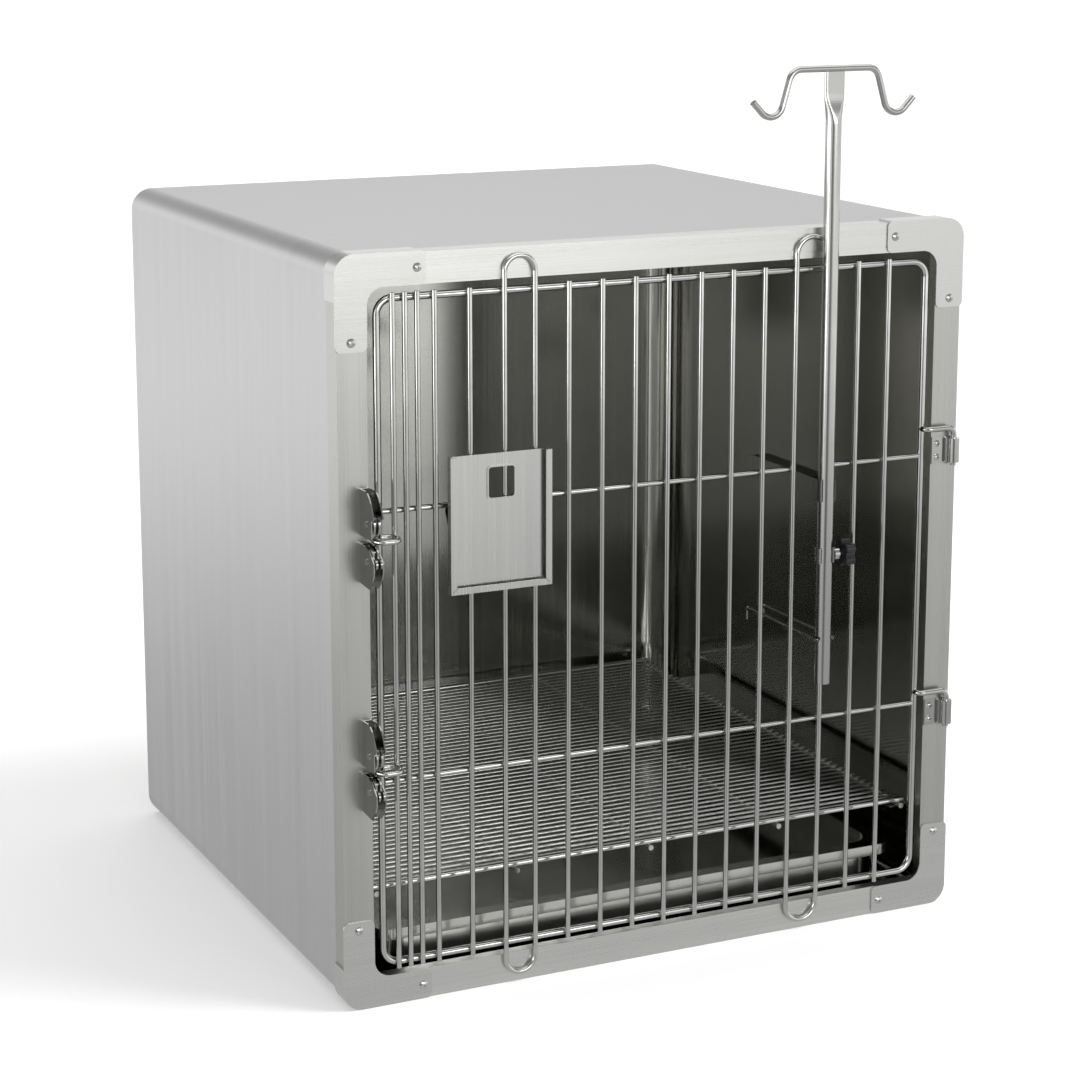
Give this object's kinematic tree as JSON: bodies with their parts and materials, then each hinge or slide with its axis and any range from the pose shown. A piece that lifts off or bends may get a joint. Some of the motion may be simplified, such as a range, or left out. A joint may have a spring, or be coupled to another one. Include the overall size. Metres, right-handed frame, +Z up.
{
  "type": "kennel cage",
  "caption": "Steel kennel cage: a wrapped cabinet with a barred swing door, sprung latches, a card holder, a drip pole, a floor grille and a tray.",
  "frame": {"origin": "middle of the cabinet's underside, halfway from the front face to the back and halfway across", "axes": "+Z up, the door faces -Y, +X toward the hinges"},
  "size_m": [0.613, 0.5975, 0.7985],
  "materials": {
    "sheet": "fine straight brushed grain",
    "gusset": "bright satin",
    "rod": "drawn wire, polished",
    "latch": "tumbled",
    "rivet": "polished heads",
    "pole": "polished",
    "bracket": "satin",
    "knob": "moulded, slight texture",
    "card": "satin",
    "grille": "drawn wire",
    "tray": "satin"
  },
  "bodies": {
    "cabinet": {"shell_wrap": "sheet", "back_panel": "sheet", "left_stile": "sheet", "right_stile": "sheet", "top_rail": "sheet", "bottom_rail": "sheet", "gusset_top_left": "gusset", "gusset_top_right": "gusset", "gusset_bottom_left": "gusset", "gusset_bottom_right": "gusset", "gusset_rivets": "rivet", "grille_ledge_left": "bracket", "grille_ledge_right": "bracket", "tray_runner_left": "bracket", "tray_runner_right": "bracket", "hinge_plate_upper": "rod", "hinge_plate_lower": "rod", "hinge_screws": "rivet", "upper_latch_top_case": "latch", "upper_latch_bottom_case": "latch", "lower_latch_top_case": "latch", "lower_latch_bottom_case": "latch", "latch_pins": "rivet", "latch_springs": "latch", "latch_rivets": "rivet"},
    "door": {"door_frame": "rod", "door_bars": "rod", "door_cross_bars": "rod", "door_hairpin_left": "rod", "door_hairpin_right": "rod", "strike_ring_upper": "rod", "strike_ring_lower": "rod", "hinge_pintle_upper": "rod", "hinge_pintle_lower": "rod", "pole_bracket_upper": "bracket", "pole_bracket_lower": "bracket", "pole_clamp": "bracket"},
    "card_holder": {"card_holder": "card", "card_holder_hooks": "card"},
    "pole": {"pole_tube": "pole", "pole_hooks": "pole"},
    "clamp": {"clamp_knob": "knob", "clamp_stud": "pole"},
    "grille": {"grille_wires": "grille", "grille_rods": "grille", "grille_end_rods": "grille"},
    "tray": {"tray": "tray"},
    "upper_latch_top_pawl": {"upper_latch_top_pawl": "latch"},
    "upper_latch_bottom_pawl": {"upper_latch_bottom_pawl": "latch"},
    "lower_latch_top_pawl": {"lower_latch_top_pawl": "latch"},
    "lower_latch_bottom_pawl": {"lower_latch_bottom_pawl": "latch"}
  },
  "joints": [
    {"name": "door_swing", "type": "hinge", "parent": "cabinet", "child": "door", "pos_m": [0.299, -0.2884, 0.316], "axis": [0, 0, 1], "range_deg": [0, 165]},
    {"name": "upper_latch_top_pawl_turn", "type": "hinge", "parent": "cabinet", "child": "upper_latch_top_pawl", "pos_m": [-0.2817, -0.2975, 0.433], "axis": [1, 0, 0], "range_deg": [-30, 30], "stiffness_Nm_per_rad": 0.01},
    {"name": "upper_latch_bottom_pawl_turn", "type": "hinge", "parent": "cabinet", "child": "upper_latch_bottom_pawl", "pos_m": [-0.2817, -0.2975, 0.401], "axis": [1, 0, 0], "range_deg": [-30, 30], "stiffness_Nm_per_rad": 0.01},
    {"name": "lower_latch_top_pawl_turn", "type": "hinge", "parent": "cabinet", "child": "lower_latch_top_pawl", "pos_m": [-0.2817, -0.2975, 0.232], "axis": [1, 0, 0], "range_deg": [-30, 30], "stiffness_Nm_per_rad": 0.01},
    {"name": "lower_latch_bottom_pawl_turn", "type": "hinge", "parent": "cabinet", "child": "lower_latch_bottom_pawl", "pos_m": [-0.2817, -0.2975, 0.2], "axis": [1, 0, 0], "range_deg": [-30, 30], "stiffness_Nm_per_rad": 0.01},
    {"name": "card_holder_lift", "type": "slide", "parent": "door", "child": "card_holder", "axis": [0, 0, 1], "range_m": [0, 0.12]},
    {"name": "pole_height", "type": "slide", "parent": "door", "child": "pole", "axis": [0, 0, 1], "range_m": [-0.2, 0.035]},
    {"name": "clamp_turn", "type": "hinge", "parent": "door", "child": "clamp", "pos_m": [0.1785, -0.2954, 0.359], "axis": [1, 0, 0], "range_deg": [-360, 0]},
    {"name": "grille_lift", "type": "slide", "parent": "cabinet", "child": "grille", "axis": [0, 0, 1], "range_m": [0, 0.12]},
    {"name": "tray_pull", "type": "slide", "parent": "cabinet", "child": "tray", "axis": [0, -1, 0], "range_m": [0, 0.015]}
  ]
}
